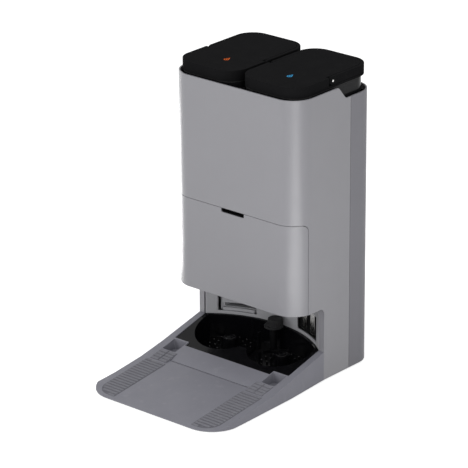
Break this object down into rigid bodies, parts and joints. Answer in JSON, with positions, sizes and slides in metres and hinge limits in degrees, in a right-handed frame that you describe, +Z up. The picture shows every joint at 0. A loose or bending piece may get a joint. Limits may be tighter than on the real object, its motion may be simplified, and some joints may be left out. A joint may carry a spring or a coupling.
{
  "type": "docking station of a robot floor cleaner",
  "caption": "Tall grey floor station with a ramp, a black mop-washing tray in an open bay, a front door and two black lift-out water tanks with bail handles.",
  "frame": {"origin": "centre of the whole station's footprint box, on the floor under the rubber feet", "axes": "+Z up, +Y towards the back of the station, +X to the right seen from the front"},
  "size_m": [0.3194, 0.46, 0.5777],
  "materials": {
    "grey_shell": "satin",
    "grey_base": "fine textured",
    "grip_rubber": "matte",
    "foot_rubber": "matte",
    "black_gloss": "high gloss",
    "black_satin": "satin",
    "tank_smoke": "smoked, glossy",
    "inner_plastic": "moulded",
    "pump_plastic": "moulded",
    "steel": "bright",
    "contact_metal": "polished",
    "foam": "open cell foam",
    "bag_paper": "non-woven",
    "card": "pressed card",
    "hose": "soft translucent",
    "circuit_board": "solder mask",
    "float_foam": "foamed"
  },
  "bodies": {
    "station": {"base_ramp": "grey_base", "rubber_feet": "foot_rubber", "ramp_grip_strips": "grip_rubber", "ramp_block_pads": "grip_rubber", "front_housing": "grey_shell", "rear_cover": "grey_shell", "housing_screws": "steel", "bay_liner": "grey_shell", "dust_port": "grey_shell", "dust_port_gasket": "foot_rubber", "contact_holder": "black_satin", "air_grille": "inner_plastic", "tank_bay": "black_satin", "clean_spigot": "inner_plastic", "dirty_spigot": "inner_plastic", "mid_frame": "inner_plastic", "dust_bag_bay": "inner_plastic", "door_seal": "foam", "motor_filter": "foam", "suction_duct": "inner_plastic", "fan_housing": "inner_plastic", "suction_motor": "steel", "dryer_housing": "inner_plastic", "clean_water_pump": "pump_plastic", "drain_pump": "pump_plastic", "clean_water_hose": "hose", "drain_hose": "hose", "exhaust_filter": "foam", "control_board": "circuit_board", "power_supply": "pump_plastic", "mains_inlet": "black_satin"},
    "door": {"front_door": "grey_shell", "door_grip": "black_satin", "door_magnets": "steel"},
    "bag": {"dust_bag": "bag_paper", "bag_collar": "card"},
    "tray": {"wash_tray": "black_gloss", "wash_board_left": "black_gloss", "wash_board_right": "black_gloss", "tray_filter_cap": "black_satin"},
    "contact_left": {"charge_contact_left": "contact_metal"},
    "contact_right": {"charge_contact_right": "contact_metal"},
    "fan_wheel": {"suction_impeller": "inner_plastic"},
    "dryer_wheel": {"dryer_rotor": "inner_plastic"},
    "clean_tank": {"clean_tank": "tank_smoke", "clean_tank_valve": "inner_plastic", "clean_tank_seal": "foot_rubber", "clean_hinge_pin": "steel"},
    "clean_lid": {"clean_tank_lid": "black_satin", "clean_handle_pins": "steel"},
    "clean_handle": {"clean_tank_handle": "black_satin"},
    "dirty_tank": {"dirty_tank": "tank_smoke", "dirty_tank_valve": "inner_plastic", "dirty_tank_seal": "foot_rubber", "dirty_hinge_pin": "steel", "float_guide": "steel"},
    "dirty_lid": {"dirty_tank_lid": "black_satin", "dirty_handle_pins": "steel"},
    "dirty_handle": {"dirty_tank_handle": "black_satin"},
    "float": {"dirty_tank_float": "float_foam"}
  },
  "joints": [
    {"name": "door_pull", "type": "slide", "parent": "station", "child": "door", "axis": [0, -1, 0], "range_m": [0, 0.2]},
    {"name": "dust_bag_pull", "type": "slide", "parent": "station", "child": "bag", "axis": [0, -1, 0], "range_m": [0, 0.14]},
    {"name": "tray_lift", "type": "slide", "parent": "station", "child": "tray", "axis": [0, 0, 1], "range_m": [0, 0.07]},
    {"name": "contact_left_press", "type": "slide", "parent": "station", "child": "contact_left", "axis": [0, 1, 0], "range_m": [0, 0.003], "stiffness_N_per_m": 250, "springref_m": -0.002},
    {"name": "contact_right_press", "type": "slide", "parent": "station", "child": "contact_right", "axis": [0, 1, 0], "range_m": [0, 0.003], "stiffness_N_per_m": 250, "springref_m": -0.002},
    {"name": "suction_fan_spin", "type": "hinge", "parent": "station", "child": "fan_wheel", "pos_m": [0.06, 0.162, 0.235], "axis": [0, 1, 0], "continuous": true},
    {"name": "dryer_fan_spin", "type": "hinge", "parent": "station", "child": "dryer_wheel", "pos_m": [0.008, 0.163, 0.118], "axis": [0, 1, 0], "continuous": true},
    {"name": "clean_tank_lift", "type": "slide", "parent": "station", "child": "clean_tank", "axis": [0, 0, 1], "range_m": [0, 0.24]},
    {"name": "clean_lid_open", "type": "hinge", "parent": "clean_tank", "child": "clean_lid", "pos_m": [0.07375, 0.2215, 0.5545], "axis": [-1, 0, 0], "range_deg": [0, 85]},
    {"name": "clean_handle_swing", "type": "hinge", "parent": "clean_lid", "child": "clean_handle", "pos_m": [0.07375, 0.1125, 0.57], "axis": [1, 0, 0], "range_deg": [0, 95]},
    {"name": "dirty_tank_lift", "type": "slide", "parent": "station", "child": "dirty_tank", "axis": [0, 0, 1], "range_m": [0, 0.24]},
    {"name": "dirty_lid_open", "type": "hinge", "parent": "dirty_tank", "child": "dirty_lid", "pos_m": [-0.07375, 0.2215, 0.5545], "axis": [-1, 0, 0], "range_deg": [0, 85]},
    {"name": "dirty_handle_swing", "type": "hinge", "parent": "dirty_lid", "child": "dirty_handle", "pos_m": [-0.07375, 0.1125, 0.57], "axis": [1, 0, 0], "range_deg": [0, 95]},
    {"name": "float_rise", "type": "slide", "parent": "dirty_tank", "child": "float", "axis": [0, 0, 1], "range_m": [0, 0.17]}
  ],
  "couplings": [
    {"joint": "dust_bag_pull", "follows": "door_pull", "ratio": 0.7}
  ]
}
